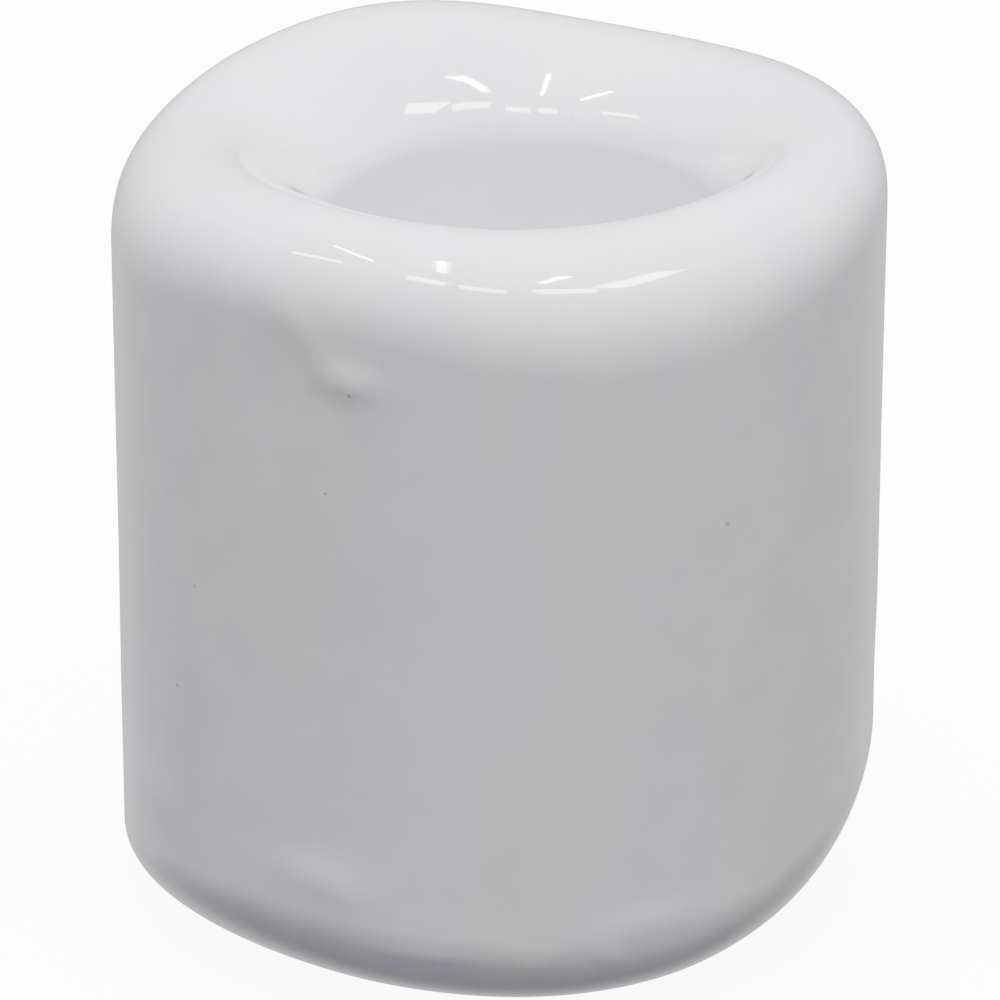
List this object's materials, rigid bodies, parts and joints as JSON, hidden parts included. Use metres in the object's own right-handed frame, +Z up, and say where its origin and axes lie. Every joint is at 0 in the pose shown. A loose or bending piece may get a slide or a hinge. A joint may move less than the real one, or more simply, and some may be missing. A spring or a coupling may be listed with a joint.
{
  "type": "porcelain insulator",
  "caption": "Short white glazed porcelain cylinder with a wavy rolled rim, a dished mouth and a blind round socket, standing on a dry foot.",
  "frame": {"origin": "centre of the round body on the plane of its dry foot", "axes": "+Z up along the body's axis, out of the socket; -Y towards the side that faced the viewer"},
  "size_m": [0.0254, 0.0254, 0.0274],
  "materials": {
    "bisque_porcelain": "dry fired clay, matt, faintly warm, bare only on the foot",
    "white_glaze": "thick glossy white glaze with a faint lilac cast, soft ripples, pinholes and small specks"
  },
  "bodies": {
    "root": {"porcelain_body": "bisque_porcelain", "glaze_coat": "white_glaze"}
  },
  "joints": []
}
